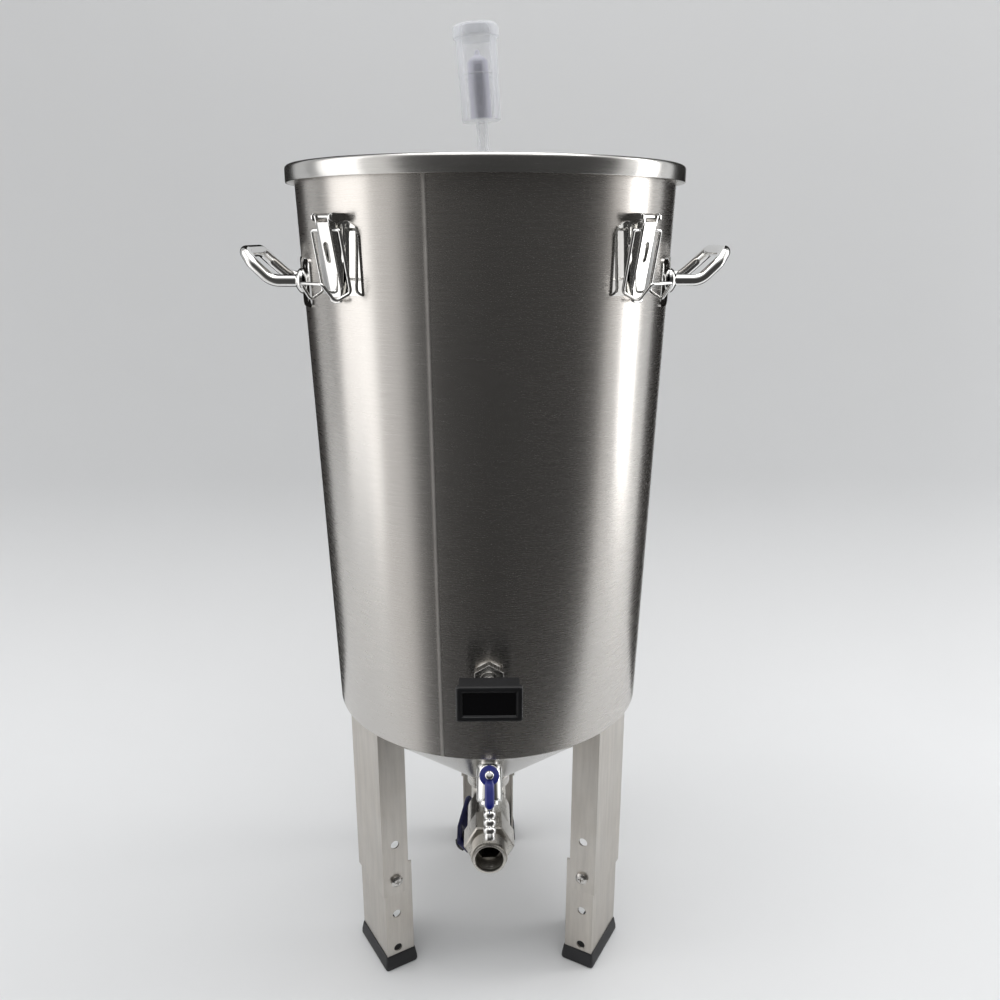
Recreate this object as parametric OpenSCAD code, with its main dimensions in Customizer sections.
// Conical fermenter on three telescoping legs, with dump and racking valves,
// a latched lid, an airlock and a thermometer.
// Origin: floor level on the vessel axis. +Z up, front is -Y, right is +X.

/* [Vessel] */
// Height of the lid's top rim above the floor
rim_z = 713; // [713:1:713]
// Outer radius of the wall at its bottom edge
wall_r = 136.9; // [136.9:0.1:136.9]
// Height of the wall's bottom edge above the floor
wall_z = 256; // [256:1:256]
// Growth of the wall radius per mm of height
wall_taper = 0.0339; // [0.0339:0.0001:0.0339]
// Sheet thickness of the wall
wall_t = 1.0; // [0.8:0.1:1.2]
// Outer radius of the lid
lid_r = 159; // [158:0.5:160]
// Outer radius of the port at the tip of the cone
tip_r = 20.5; // [20.5:0.5:20.5]
// Height of the tip of the cone
tip_z = 158; // [158:1:158]

/* [Legs] */
// Width of the upper channel's web
leg_w = 59; // [56:0.5:60]
// Distance from the vessel axis to the upper channel's web
leg_rho = 127.5; // [126:0.5:128]
// Depth of the upper channel's flanges
leg_d = 25; // [23:0.5:26]
// Height of the upper channel's lower end
leg_z = 82; // [80:1:84]
// Spacing of the adjusting holes
leg_pitch = 38; // [38:1:38]
// Height of the locking screws
screw_z = 97; // [97:1:97]
// Radius of the adjusting holes
leg_hole_r = 4; // [3.5:0.1:4.2]

/* [Latches] */
// Height of the latch hinge pin
pin_z = 674; // [674:1:674]
// Distance from the vessel axis to the hinge pin
pin_rho = 160.5; // [160.5:0.5:160.5]
// Lean of a shut lever towards the wall, in degrees
lever_lean = 9.8; // [9.8:0.1:9.8]
// Radius of the bail wire
wire_r = 1.25; // [1.1:0.05:1.25]

/* [Handles] */
// Radius of the handle rod
rod_r = 4.75; // [4:0.25:5]

/* [Valves] */
// Height of the dump valve's axis
dump_z = 130; // [130:1:130]
// Distance of the dump valve's stem in front of the vessel axis
dump_y = 46; // [46:1:46]
// How far the dump valve's stem points below the horizontal, in degrees
dump_tilt = 41; // [41:1:41]
// Angle at which the dump lever is folded towards the pipe, in degrees
lever_bend = 15; // [15:1:15]
// Distance from the stem to the fold
lever_fold = 16; // [16:1:16]
// Length of the lever beyond the fold
lever_len = 39; // [39:1:39]
// Bore radius of the dump valve
dump_bore = 12.5; // [12:0.1:12.5]
// Radius of the dump outlet's male thread
dump_thread = 16.6; // [16.6:0.1:16.6]
// Distance in front of the vessel axis at which the racking valve leaves the cone
rack_y = 124; // [124:1:124]
// Distance of the racking valve's stem from the cone, along the valve
rack_s = 12.5; // [12.5:0.5:12.5]

/* [Airlock] */
// Tilt of the airlock, in degrees
air_tilt = 4; // [0:1:5]
// Radius of the airlock stem
air_stem = 4.65; // [4.5:0.05:4.65]

/* [Hidden] */
$fn = 64;
vessel_fn = 128;    // facets of the vessel's large rounds
fit = 0.05;         // clearance between mating parts
skin = 0.02;        // gap between the vessel or valve body and parts cut to it

// ---------- helpers ----------
// Turns a shape built at the front round to an azimuth
module at(azimuth) { rotate([0, 0, azimuth]) children(); }
// A cylinder on the axis x = 0 at height z, between two distances in front of the vessel axis
module forward(radius, near, far, z) {
    translate([0, -near, z]) rotate([90, 0, 0]) cylinder(h = far - near, r = radius);
}
// A cylinder along X between two places
module across(radius, left, right, y, z) {
    translate([left, y, z]) rotate([0, 90, 0]) cylinder(h = right - left, r = radius);
}
// A cylinder or cone along Z between two places
module along(radius, start, end, end_radius = -1) {
    translate([0, 0, start])
        cylinder(h = end - start, r1 = radius, r2 = end_radius < 0 ? radius : end_radius);
}
// A block centred on the Z axis, standing on height z
module post(size, z) { translate([-size[0] / 2, -size[1] / 2, z]) cube(size); }
// A plate square to X, centred on x, from its outline in [y, z]
module side_plate(x, thickness, outline) {
    translate([x - thickness / 2, 0, 0]) rotate([90, 0, 90]) linear_extrude(thickness)
        polygon(outline);
}
// Round bar through a list of points, with a ball at each inner point
module bent_bar(points, radius, ball_ratio, ball_fn) {
    for (i = [0:len(points) - 2]) {
        span = points[i + 1] - points[i];
        length = norm(span);
        translate(points[i]) rotate([0, acos(span[2] / length), atan2(span[1], span[0])])
            cylinder(h = length, r = radius);
    }
    for (i = [1:len(points) - 2])
        translate(points[i]) sphere(r = radius * ball_ratio, $fn = ball_fn);
}
// Points followed by their mirror images in reverse order; flip holds the sign of each axis
function mirrored(points, flip) = concat(points,
    [for (i = [len(points) - 1:-1:0]) [for (j = [0:2]) points[i][j] * flip[j]]]);
// A pipe bend about Z
module pipe_bend(bend_r, angle, outer_r, inner_r) {
    rotate_extrude(angle = angle) translate([bend_r, 0]) difference() {
        circle(r = outer_r);
        circle(r = inner_r);
    }
}
// A ball bored along Y, with a slot on top for the stem's tongue
module valve_ball(radius, bore, bore_len, slot, slot_z) {
    difference() {
        sphere(r = radius);
        translate([0, bore_len / 2, 0]) rotate([90, 0, 0]) cylinder(h = bore_len, r = bore);
        post(slot, slot_z);
    }
}

// ---------- vessel ----------
cone_t = 1.3;           // vertical thickness of the cone's sheet
cone_spread = (wall_r - tip_r) / (wall_z - tip_z);     // growth of radius per mm of height
cone_slope = atan((wall_z - tip_z) / (wall_r - tip_r));
flange_r = 156.5;       // flange round the top of the wall
flange_z = 705;
flange_top = 706.5;
elbow_bend = 17;        // centreline radius of the elbow under the cone
port_z = dump_z + elbow_bend;
rack_port_r = 8;
rack_port_bore = 5;
rack_tube_r = rack_port_bore - fit;
rack_tube_bore = 4;
rack_tube_end = -40;    // start of the tube's bend, inside the cone
rack_tube_bend = 12;
thermo_z = 333;         // thermowell axis
well_r = 6;             // thermowell's threaded stem

function wall_radius(z) = wall_r + wall_taper * (z - wall_z);
// The solid inside the wall's outer surface, grown outwards
module wall_solid(growth, bottom, top) {
    translate([0, 0, bottom]) cylinder(h = top - bottom, r1 = wall_radius(bottom) + growth,
        r2 = wall_radius(top) + growth, $fn = vessel_fn);
}
// The children's part that lies within a thickness of the wall's outer surface
module wall_patch(thickness, bottom, top) {
    difference() {
        intersection() {
            wall_solid(thickness, bottom, top);
            children();
        }
        wall_solid(skin, bottom - 1, top + 1);
    }
}
// The solid inside the cone's outer surface, with clearance, and a cylinder above it
module cone_solid() {
    translate([0, 0, tip_z])
        cylinder(h = wall_z - tip_z, r1 = tip_r + skin, r2 = wall_r + skin, $fn = vessel_fn);
    translate([0, 0, wall_z]) cylinder(h = 40, r = wall_r + skin, $fn = vessel_fn);
}
// Frame of the racking valve: origin on the cone, +Z out square to the cone, +Y the stem
module rack_frame() {
    translate([0, -rack_y, tip_z + (rack_y - tip_r) * tan(cone_slope)])
        rotate([180 - cone_slope, 0, 0]) children();
}
module vessel_wall() color("#8d8b88") difference() {
    rotate_extrude($fn = vessel_fn) polygon([
        [wall_r, wall_z], [wall_radius(flange_z), flange_z],
        [flange_r, flange_z], [flange_r, flange_top],
        [wall_radius(flange_top) - wall_t, flange_top], [wall_r - wall_t, wall_z]]);
    forward(well_r + 0.1, 130, 145, thermo_z);
}
module bottom_cone() color("#a6a5a3") difference() {
    rotate_extrude($fn = vessel_fn) polygon([
        [wall_r, wall_z], [tip_r, tip_z], [tip_r, tip_z + cone_t],
        [tip_r + cone_spread * (wall_z - tip_z - cone_t), wall_z]]);
    rack_frame() translate([0, 0, -12]) cylinder(h = 20, r = rack_port_r + fit);
}
module dump_port() color("#b3b2b0") difference() {
    translate([0, 0, port_z]) cylinder(h = tip_z + cone_t - port_z, r = tip_r - fit);
    translate([0, 0, port_z - 1]) cylinder(h = 15, r = dump_bore);
}
module racking_port() color("#b3b2b0") rack_frame() difference() {
    along(rack_port_r, -10, 2);
    along(rack_port_bore, -11, 3);
}
// Straight tube into the cone, ending in a bend
module racking_tube() color("#b3b2b0") rack_frame() {
    difference() {
        along(rack_tube_r, rack_tube_end, 1);
        along(rack_tube_bore, rack_tube_end - 1, 2);
    }
    translate([0, -rack_tube_bend, rack_tube_end]) rotate([90, 0, 90])
        pipe_bend(rack_tube_bend, -50, rack_tube_r, rack_tube_bore);
}

// ---------- lid ----------
seat_z = 703;           // underside of the lid's recess floor
lid_t = 1.2;            // lid sheet
lid_bevel = 1.5;
skirt_z = 700.4;        // bottom edge of the lid's skirt
recess_r = 146;         // recess at the rim
recess_floor_r = 144.6;
lid_hole_r = 8;
grommet_lip = 3;        // thickness of each lip
grommet_z = seat_z - grommet_lip;

module lid() color("#a9a8a5") difference() {
    rotate_extrude($fn = vessel_fn) polygon([
        [lid_r, skirt_z], [lid_r, rim_z - lid_bevel], [lid_r - lid_bevel, rim_z],
        [recess_r, rim_z], [recess_floor_r, seat_z + lid_t], [0, seat_z + lid_t],
        [0, seat_z], [recess_floor_r + lid_t, seat_z], [recess_r + lid_t, rim_z - lid_t],
        [lid_r - lid_t, rim_z - lid_t], [lid_r - lid_t, skirt_z]]);
    translate([0, 0, seat_z - 5]) cylinder(h = 20, r = lid_hole_r);
}
// Fills the space between the wall's flange and the lid
module lid_gasket() color("#c9c7c2") difference() {
    translate([0, 0, flange_top])
        cylinder(h = rim_z - lid_t - flange_top, r = 156.4, $fn = vessel_fn);
    translate([0, 0, flange_top - 0.5]) cylinder(h = 8, r = 149.5, $fn = vessel_fn);
}
module lid_grommet() color("#33312f") difference() {
    union() {
        translate([0, 0, grommet_z])
            cylinder(h = 2 * grommet_lip + lid_t, r = lid_hole_r - fit);
        for (z = [seat_z + lid_t, grommet_z])
            translate([0, 0, z]) cylinder(h = grommet_lip, r = 11);
    }
    air_frame() translate([0, 0, -10]) cylinder(h = 30, r = air_stem + 0.03);
}

// ---------- airlock ----------
cup_z = 45;             // cup's underside above the recess floor's underside
cup_h = 68;
cup_r = 15.4;           // outer radius at the bottom
cup_top_r = 16.4;
cup_t = 1.2;            // side wall
float_r = 8.3;
float_h = 42;           // straight part
nub_r = 2;              // on top of the float
cap_h = 9.6;

// Frame of the tilted airlock: origin on the airlock's axis at the lid
module air_frame() { translate([0, 0, seat_z]) rotate([0, -air_tilt, 0]) children(); }
// Cup with a central tube that stands up inside it
module airlock_cup() color("#e8ecf2", 0.4) air_frame() difference() {
    union() {
        translate([0, 0, -18]) cylinder(h = cup_z + 19, r = air_stem);
        translate([0, 0, cup_z]) cylinder(h = cup_h, r1 = cup_r, r2 = cup_top_r);
    }
    difference() {
        translate([0, 0, cup_z + 1.4])
            cylinder(h = cup_h, r1 = cup_r - cup_t, r2 = cup_top_r - cup_t);
        cylinder(h = cup_z + 42, r = air_stem);
    }
    translate([0, 0, -20]) cylinder(h = cup_z + 80, r = 3.3);
}
module airlock_float() color("#dcdcee", 0.5) air_frame() translate([0, 0, cup_z + 2.2])
    difference() {
        union() {
            cylinder(h = float_h, r = float_r);
            along(float_r, float_h, float_h + 4, nub_r);
            along(nub_r, float_h + 4, float_h + 8);
        }
        translate([0, 0, -1]) cylinder(h = 42.2, r = 7.2);
    }
module airlock_cap() color("#e8ecf2", 0.4) air_frame() translate([0, 0, cup_z + 60])
    difference() {
        cylinder(h = cap_h, r = 17.9);
        translate([0, 0, -1]) cylinder(h = cap_h - 0.5, r = 16.5);
        for (a = [0:60:300]) rotate([0, 0, a]) translate([9, 0, 7]) cylinder(h = 4, r = 1);
    }

// ---------- handles ----------
handle_z = 627;         // rod ends
handle_half_w = 39;
handle_plate_t = 1.25;
// Centreline of the back half of the right handle, [x, y, z]
handle_path = [[145, handle_half_w, handle_z], [170, 37, handle_z],
    [185, 34.5, 640.5], [192, 26, 649]];

module handle() {
    difference() {
        union() {
            bent_bar(mirrored(handle_path, [1, -1, 1]), rod_r, 1.1, $fn);
            for (s = [-1, 1]) across(10, 140, 150.5, s * handle_half_w, handle_z);
        }
        wall_solid(handle_plate_t + fit, 600, 660);
    }
}
module handle_right() color("#c9c8c6") handle();
module handle_left() color("#c9c8c6") mirror([1, 0, 0]) handle();
module handle_plates() color("#bdbcba") for (s = [-1, 1])
    wall_patch(handle_plate_t, 600, 660)
        translate([s * 155 - 55, -69, 608]) cube([110, 138, 37]);

// ---------- latches ----------
latch_azimuths = [-45, 45, 135, 225];
patch_bottom = 610;     // heights between which the bases are cut to the wall
patch_top = 690;
lug_x = 10.2;           // middle of each hinge lug
lug_t = 1.6;
pin_r = 1.5;
pin_half_len = 11.1;    // between the heads
latch_w = 16;           // lever width
latch_t = 1.2;          // lever sheet
latch_face_y = -2.9;    // outer face in the lever's frame
bail_y = -1;            // bail pivot in the lever's frame
bail_z = -9;
// Outline of the base plate from its lower corner, [x, z]
base_outline = [[0, 0], [48, 0], [48, 41], [45.5, 47.5], [39, 51], [9, 51], [2.5, 47.5], [0, 41]];
// Outline of a hinge lug, [y, z]
lug_outline = [[-140, 655], [-152.6, 655], [-153.2, 668.4], [-161.5, 670.4], [-164, 672.2],
    [-164, 675], [-162.5, 676.4], [-140, 676.4]];
// Outline of a lever's side in its own frame, [y, z]
lever_side = [[latch_face_y, -3.5], [-2.6, 0.8], [-1.6, 2.2], [1.6, 2.2], [2.6, 1],
    [2.6, -36], [-1.0, -52], [latch_face_y, -54]];
// Centreline of the +X half of the bail in the lever's frame, [x, y, z]
bail_path = [[6.6, bail_y, bail_z], [16.4, bail_y, bail_z], [16.4, -1, -52],
    [14.6, -14.4, -55.4], [12.8, -21.4, -42.1]];

module latch_base() {
    wall_patch(1.45, patch_bottom, patch_top)
        translate([-24, -110, 620]) rotate([90, 0, 0]) linear_extrude(60) polygon(base_outline);
    for (s = [-1, 1]) difference() {
        side_plate(s * lug_x, lug_t, lug_outline);
        wall_solid(skin, patch_bottom - 1, patch_top + 1);
        across(pin_r + fit, s * lug_x - 2, s * lug_x + 2, -pin_rho, pin_z);
    }
}
module latch_bases() color("#c4c3c1") for (a = latch_azimuths) at(a) latch_base();
module latch_pin() {
    head_end = pin_half_len + 0.9;
    across(pin_r, -pin_half_len, pin_half_len, -pin_rho, pin_z);
    across(2.4, -head_end, -pin_half_len, -pin_rho, pin_z);
    across(2.4, pin_half_len, head_end, -pin_rho, pin_z);
}
module latch_pins() color("#c4c3c1") for (a = latch_azimuths) at(a) latch_pin();
// Frame of a lever: origin on the hinge pin, -Z down the lever, -Y out
module lever_frame() {
    translate([0, -pin_rho, pin_z]) rotate([lever_lean, 0, 0]) children();
}
module latch_lever() lever_frame() difference() {
    union() {
        translate([-latch_w / 2, latch_face_y, -56]) cube([latch_w, latch_t, 52.5]);
        for (s = [-1, 1]) side_plate(s * (latch_w - latch_t) / 2, latch_t, lever_side);
        // finger tab with a rolled end
        translate([-6, latch_face_y, -58.5]) cube([12, latch_t, 3.5]);
        across(1.5, -6, 6, -3.2, -59);
    }
    across(pin_r + 0.06, -9, 9, 0, 0);
    across(wire_r + fit, -9, 9, bail_y, bail_z);
    // slot through the face
    hull() for (z = [-20, -28])
        translate([0, -1, z]) rotate([90, 0, 0]) cylinder(h = 5, r = 3.5);
}
module latch_lever_fl() color("#cfcecb") at(-45) latch_lever();
module latch_lever_fr() color("#cfcecb") at(45) latch_lever();
module latch_lever_bl() color("#cfcecb") at(225) latch_lever();
module latch_lever_br() color("#cfcecb") at(135) latch_lever();
module latch_bail() lever_frame() bent_bar(mirrored(bail_path, [-1, 1, 1]), wire_r, 1.35, 32);
module latch_bail_fl() color("#cfcecb") at(-45) latch_bail();
module latch_bail_fr() color("#cfcecb") at(45) latch_bail();
module latch_bail_bl() color("#cfcecb") at(225) latch_bail();
module latch_bail_br() color("#cfcecb") at(135) latch_bail();

// ---------- legs ----------
leg_t = 1.5;                // channel sheet
leg_inset = leg_t + 0.2;    // lower channel's outer face inside the upper's
lower_d = leg_d + 2;        // depth of the lower channel
lower_z = 3;                // lower end of the lower channel
hole_y = -115;              // adjusting holes and screws
foot_margin = 0.9;          // foot beyond the upper channel
foot_w = leg_w + 2 * foot_margin;
foot_d = 32.4;
foot_front = -leg_rho - foot_margin;
sole_inset = 1;
screw_r = 3;
screw_head_r = 5.6;
nut_h = 4;

// A channel open towards the vessel axis: web outer face at y = -rho
module channel(width, rho, depth, sheet, bottom, top)
    translate([0, 0, bottom]) linear_extrude(top - bottom) difference() {
        translate([-width / 2, -rho]) square([width, depth]);
        translate([-width / 2 + sheet, -rho + sheet]) square([width - 2 * sheet, depth]);
    }
// Adjusting holes, at steps of the pitch from the screws
module leg_holes(steps) {
    for (i = steps) across(leg_hole_r, -40, 40, hole_y, screw_z + i * leg_pitch);
}
module leg_upper() difference() {
    channel(leg_w, leg_rho, leg_d, leg_t, leg_z, 262);
    cone_solid();
    leg_holes([0, 1]);
}
module leg_lower() difference() {
    channel(leg_w - 2 * leg_inset, leg_rho - leg_inset, lower_d, leg_t, lower_z, 111);
    leg_holes([0, -1, -2]);
}
module foot() difference() {
    slot_inset = leg_inset - fit;
    union() {
        translate([-foot_w / 2, foot_front, 2]) cube([foot_w, foot_d, 12.6]);
        translate([sole_inset - foot_w / 2, foot_front + sole_inset, 0])
            cube([foot_w - 2 * sole_inset, foot_d - 2 * sole_inset, 3]);
    }
    channel(leg_w - 2 * slot_inset, leg_rho - slot_inset, lower_d + 0.2, leg_t + 2 * fit,
        lower_z, 20);
}
module leg_upper_left() color("#8f8c86") at(-60) leg_upper();
module leg_upper_right() color("#8f8c86") at(60) leg_upper();
module leg_upper_back() color("#8f8c86") at(180) leg_upper();
module leg_lower_left() color("#918b83") at(-60) leg_lower();
module leg_lower_right() color("#918b83") at(60) leg_lower();
module leg_lower_back() color("#918b83") at(180) leg_lower();
module foot_left() color("#16161a") at(-60) foot();
module foot_right() color("#16161a") at(60) foot();
module foot_back() color("#16161a") at(180) foot();
// Screw with a cross-slotted head
module leg_screw() {
    translate([leg_w / 2, hole_y, screw_z]) rotate([0, 90, 0]) difference() {
        union() {
            cylinder(h = 2.2, r = screw_head_r);
            along(screw_head_r, 2.2, 3.6, 3.4);
        }
        for (a = [0, 90]) rotate([0, 0, a]) post([5.2, 1, 3], 2);
    }
    across(screw_r, 19.5, leg_w / 2, hole_y, screw_z);
}
// Nut against the inside of the lower channel's flange
module leg_nut() difference() {
    translate([leg_w / 2 - leg_inset - leg_t - nut_h, hole_y, screw_z]) rotate([0, 90, 0])
        cylinder(h = nut_h, r = 6.2, $fn = 6);
    across(screw_r + 0.03, 10, 40, hole_y, screw_z);
}
// Repeats a part on both flanges of each leg
module each_flange() {
    for (a = [-60, 60, 180], m = [0, 1]) at(a) mirror([m, 0, 0]) children();
}
module leg_screws() color("#a8a7a4") each_flange() leg_screw();
module leg_nuts() color("#a8a7a4") each_flange() leg_nut();

// ---------- dump valve ----------
pipe_r = 16.6;
body_r = 20;                // also half the outlet hexagon's width across flats
body_start = 24;            // distances in front of the vessel axis
body_end = 56;
hex_len = 25 - 1;           // outlet hexagon up to where the thread is started
chamber_r = 16.4;
chamber_start = dump_y - 14;
chamber_end = dump_y + 14;
seat_len = 8;
ball_r = 15.5;
stem_r = 5;
packing_z = 20.3;           // distances along the stem
lever_z = 29.4;
lever_t = 3;
lever_w = 12;

// A cylinder along the dump pipe
module dump_run(radius, near, far) { forward(radius, near, far, dump_z); }
// Frame of the stem: +Z out along the stem, +Y back along the pipe
module dump_frame() {
    translate([0, -dump_y, dump_z]) rotate([0, -90 - dump_tilt, 0]) children();
}
module dump_elbow() color("#b0afac") {
    translate([0, -elbow_bend, port_z]) rotate([0, 90, 0])
        pipe_bend(elbow_bend, 90, pipe_r, dump_bore);
    difference() {
        dump_run(pipe_r, elbow_bend, body_start);
        dump_run(dump_bore, elbow_bend - 1, body_start + 1);
    }
}
module dump_valve_body() color("#a9a8a3") difference() {
    dump_run(body_r, body_start, body_end);
    dump_run(dump_bore, body_start - 1, 40);
    dump_run(chamber_r, chamber_start, body_end + 1);
    dump_frame() cylinder(h = 30, r = stem_r + fit);
}
module dump_outlet() color("#b3b2ae") difference() {
    union() {
        translate([0, -body_end, dump_z]) rotate([90, 0, 0])
            cylinder(h = hex_len + 1, r = body_r / cos(30), $fn = 6);
        dump_run(dump_thread, body_end + hex_len, 98);
    }
    dump_run(dump_bore, body_end - 1, 99);
    dump_run(chamber_r, body_end - 1, chamber_end);
}
module dump_seats() color("#f2f2ee") for (y = [chamber_start, chamber_end - seat_len])
    difference() {
        dump_run(chamber_r - fit, y, y + seat_len);
        dump_run(dump_bore, y - 1, y + seat_len + 1);
        translate([0, -dump_y, dump_z]) sphere(r = ball_r + fit);
    }
module dump_ball() color("#d5d5d3") dump_frame()
    valve_ball(ball_r, dump_bore - 1.5, 60, [12.1, 4.1, 10], 12.1);
module dump_stem() color("#c3c3c0") dump_frame() {
    post([8, 4, 5], 12.2);
    along(stem_r, 16.2, 37.5);
}
module dump_packing_nut() color("#4a4a4c") dump_frame() difference() {
    union() {
        translate([0, 0, packing_z]) cylinder(h = 5, r = 9.4, $fn = 6);
        translate([0, 0, packing_z + 5]) cylinder(h = 2.3, r = 7.4);
    }
    translate([0, 0, 19]) cylinder(h = 10, r = stem_r + fit);
}
// Side profile of the lever, hub to fold to tip, grown on every side, [y, z]
function lever_outline(growth) = let (
    top = lever_t + growth,
    miter = tan(lever_bend / 2),
    arm = [cos(lever_bend), -sin(lever_bend)],
    normal = [sin(lever_bend), cos(lever_bend)],
    fold = [lever_fold, lever_z],
    tip = fold + (lever_len + growth) * arm) [
    [-8 - growth, lever_z - growth], [lever_fold - growth * miter, lever_z - growth],
    tip - growth * normal, tip + top * normal,
    [lever_fold + top * miter, lever_z + top], [-8 - growth, lever_z + top]];
module lever_bar(width, growth) {
    dump_frame() side_plate(0, width, lever_outline(growth));
}
module dump_lever() color("#20306a") difference() {
    lever_bar(lever_w, 0);
    dump_frame() translate([0, 0, 28]) cylinder(h = 6, r = stem_r + fit);
}
module dump_lever_sleeve() color("#1b2c78") difference() {
    lever_bar(16.8, 1.4);
    lever_bar(lever_w + 2 * fit, fit);
    dump_frame() translate([0, 0, 26]) cylinder(h = 10, r = 7.6);
}
module dump_lever_nut() color("#2b2b30") dump_frame() difference() {
    translate([0, 0, lever_z + lever_t]) cylinder(h = 4.4, r = 7, $fn = 6);
    translate([0, 0, 31]) cylinder(h = 10, r = stem_r + 0.02);
}

// ---------- racking valve ----------
rack_body_r = 10.4;
rack_body_end = 31;         // distances from the cone along the valve
rack_seat_starts = [4.5, 16.5];
rack_seat_len = 4.5;
rack_chamber_r = 8.6;
rack_ball_r = 7.5;
rack_stem_r = 3;
rack_lever_z = 16;          // distance along the stem
rack_lever_t = 3;

// Frame of the stem: +Z out along the stem, -Y down the valve
module rack_stem() { rack_frame() translate([0, 0, rack_s]) rotate([-90, 0, 0]) children(); }
module racking_valve_body() color("#c9c8c6") difference() {
    rack_frame() along(rack_body_r, 2, rack_body_end);
    rack_frame() along(rack_port_bore, 1, 7);
    rack_frame() along(rack_chamber_r, rack_seat_starts[0], rack_body_end + 1);
    rack_stem() cylinder(h = 20, r = rack_stem_r + fit);
}
// Plug in the valve body with three barbs outside it
module racking_hose_tail() color("#c9c8c6") rack_frame() difference() {
    union() {
        along(rack_chamber_r - fit, rack_seat_starts[1] + rack_seat_len, rack_body_end);
        along(8, rack_body_end, 34);
        along(4.2, 34, 60);
        for (z = [38, 44, 50]) along(4.3, z, z + 5, 5.1);
    }
    along(3, 20, 61);
}
module racking_seats() color("#f2f2ee") for (z = rack_seat_starts) difference() {
    rack_frame() along(rack_chamber_r - fit, z, z + rack_seat_len);
    rack_frame() along(4, z - 1, z + 6);
    rack_stem() sphere(r = rack_ball_r + fit);
}
module racking_ball() color("#d5d5d3") rack_stem()
    valve_ball(rack_ball_r, 3.5, 40, [6.1, 2.6, 5], 5);
module racking_stem() color("#c3c3c0") rack_stem() {
    post([4.8, 2.5, 3.5], 5.1);
    along(rack_stem_r, 7.9, 22.5);
}
module racking_packing_nut() color("#bdbcb8") difference() {
    rack_stem() translate([0, 0, 9]) cylinder(h = 6.6, r = 6.2, $fn = 6);
    rack_stem() translate([0, 0, 8]) cylinder(h = 12, r = rack_stem_r + fit);
    rack_frame() along(rack_body_r + skin, 0, 40);
}
module racking_lever() color("#1f3aa8") rack_stem() difference() {
    union() {
        translate([0, 0, rack_lever_z]) cylinder(h = rack_lever_t, r = 8);
        translate([-3.8, -26, rack_lever_z]) cube([7.6, 26, 4.6]);
    }
    translate([0, 0, rack_lever_z - 1]) cylinder(h = 10, r = rack_stem_r + 0.03);
    translate([0, 0, rack_lever_z + rack_lever_t]) cylinder(h = 10, r = 3.9);
}
module racking_lever_nut() color("#c9c8c6") rack_stem() difference() {
    translate([0, 0, rack_lever_z + rack_lever_t]) cylinder(h = 2.8, r = 3.8, $fn = 6);
    translate([0, 0, 18.5]) cylinder(h = 10, r = rack_stem_r + 0.02);
}

// ---------- thermometer ----------
display_z = 330.6;      // middle of the case
probe_r = 3.05;
well_bore = probe_r + fit;
seal_end = 141.8;       // distances in front of the vessel axis
nut_end = 149;
case_front = 177;
case_w = 45;
case_h = 25.4;
case_t = 2;

// A cylinder along the thermowell
module well_run(radius, near, far) { forward(radius, near, far, thermo_z); }
// A block centred on the display, between two distances in front of the vessel axis
module slab(width, height, near, far) {
    translate([-width / 2, -far, display_z - height / 2]) cube([width, far - near, height]);
}
module thermowell() color("#b3b2b0") difference() {
    union() {
        well_run(well_r, 135, 152);
        well_run(10, 134.6, 137.2);
        well_run(4.5, 46, 136);
    }
    well_run(well_bore, 48, 153);
}
module thermowell_nut() color("#bab9b7") difference() {
    translate([0, -seal_end, thermo_z]) rotate([90, 30, 0])
        cylinder(h = nut_end - seal_end, r = 11.2 / cos(30), $fn = 6);
    well_run(well_r + fit, 140, 150);
}
module thermowell_seal() color("#d8d6d0") difference() {
    well_run(11, 138, seal_end);
    well_run(well_r + 0.15, 137, 143);
    wall_solid(skin, 300, 360);
}
module thermowell_collar() color("#d0cfcd") difference() {
    well_run(7.3, nut_end, 158);
    well_run(well_r + fit, nut_end - 1, 152);
    well_run(well_bore, nut_end - 1, 159);
}
// Open-fronted case with its neck and probe
module thermometer_case() color("#17181a") difference() {
    union() {
        slab(case_w, case_h, 163.5, case_front);
        well_run(5, 158.2, 164);
        well_run(probe_r, 52, 160);
    }
    slab(case_w - 2 * case_t, case_h - 2 * case_t, 166, case_front + 1);
}
module thermometer_bezel() color("#101113") difference() {
    slab(49.8, 28.8, case_front, 182);
    slab(39.2, 18.4, 175, 183);
}
module thermometer_faceplate() color("#050507") slab(39.1, 18.3, case_front, 180.8);

vessel_wall();
bottom_cone();
dump_port();
racking_port();
racking_tube();
lid();
lid_gasket();
lid_grommet();
airlock_cup();
airlock_float();
airlock_cap();
handle_left();
handle_right();
handle_plates();
latch_bases();
latch_pins();
latch_lever_fl();
latch_lever_fr();
latch_lever_bl();
latch_lever_br();
latch_bail_fl();
latch_bail_fr();
latch_bail_bl();
latch_bail_br();
leg_upper_left();
leg_upper_right();
leg_upper_back();
leg_lower_left();
leg_lower_right();
leg_lower_back();
foot_left();
foot_right();
foot_back();
leg_screws();
leg_nuts();
dump_elbow();
dump_valve_body();
dump_outlet();
dump_seats();
dump_ball();
dump_stem();
dump_packing_nut();
dump_lever();
dump_lever_sleeve();
dump_lever_nut();
racking_valve_body();
racking_hose_tail();
racking_seats();
racking_ball();
racking_stem();
racking_packing_nut();
racking_lever();
racking_lever_nut();
thermowell();
thermowell_nut();
thermowell_seal();
thermowell_collar();
thermometer_case();
thermometer_bezel();
thermometer_faceplate();
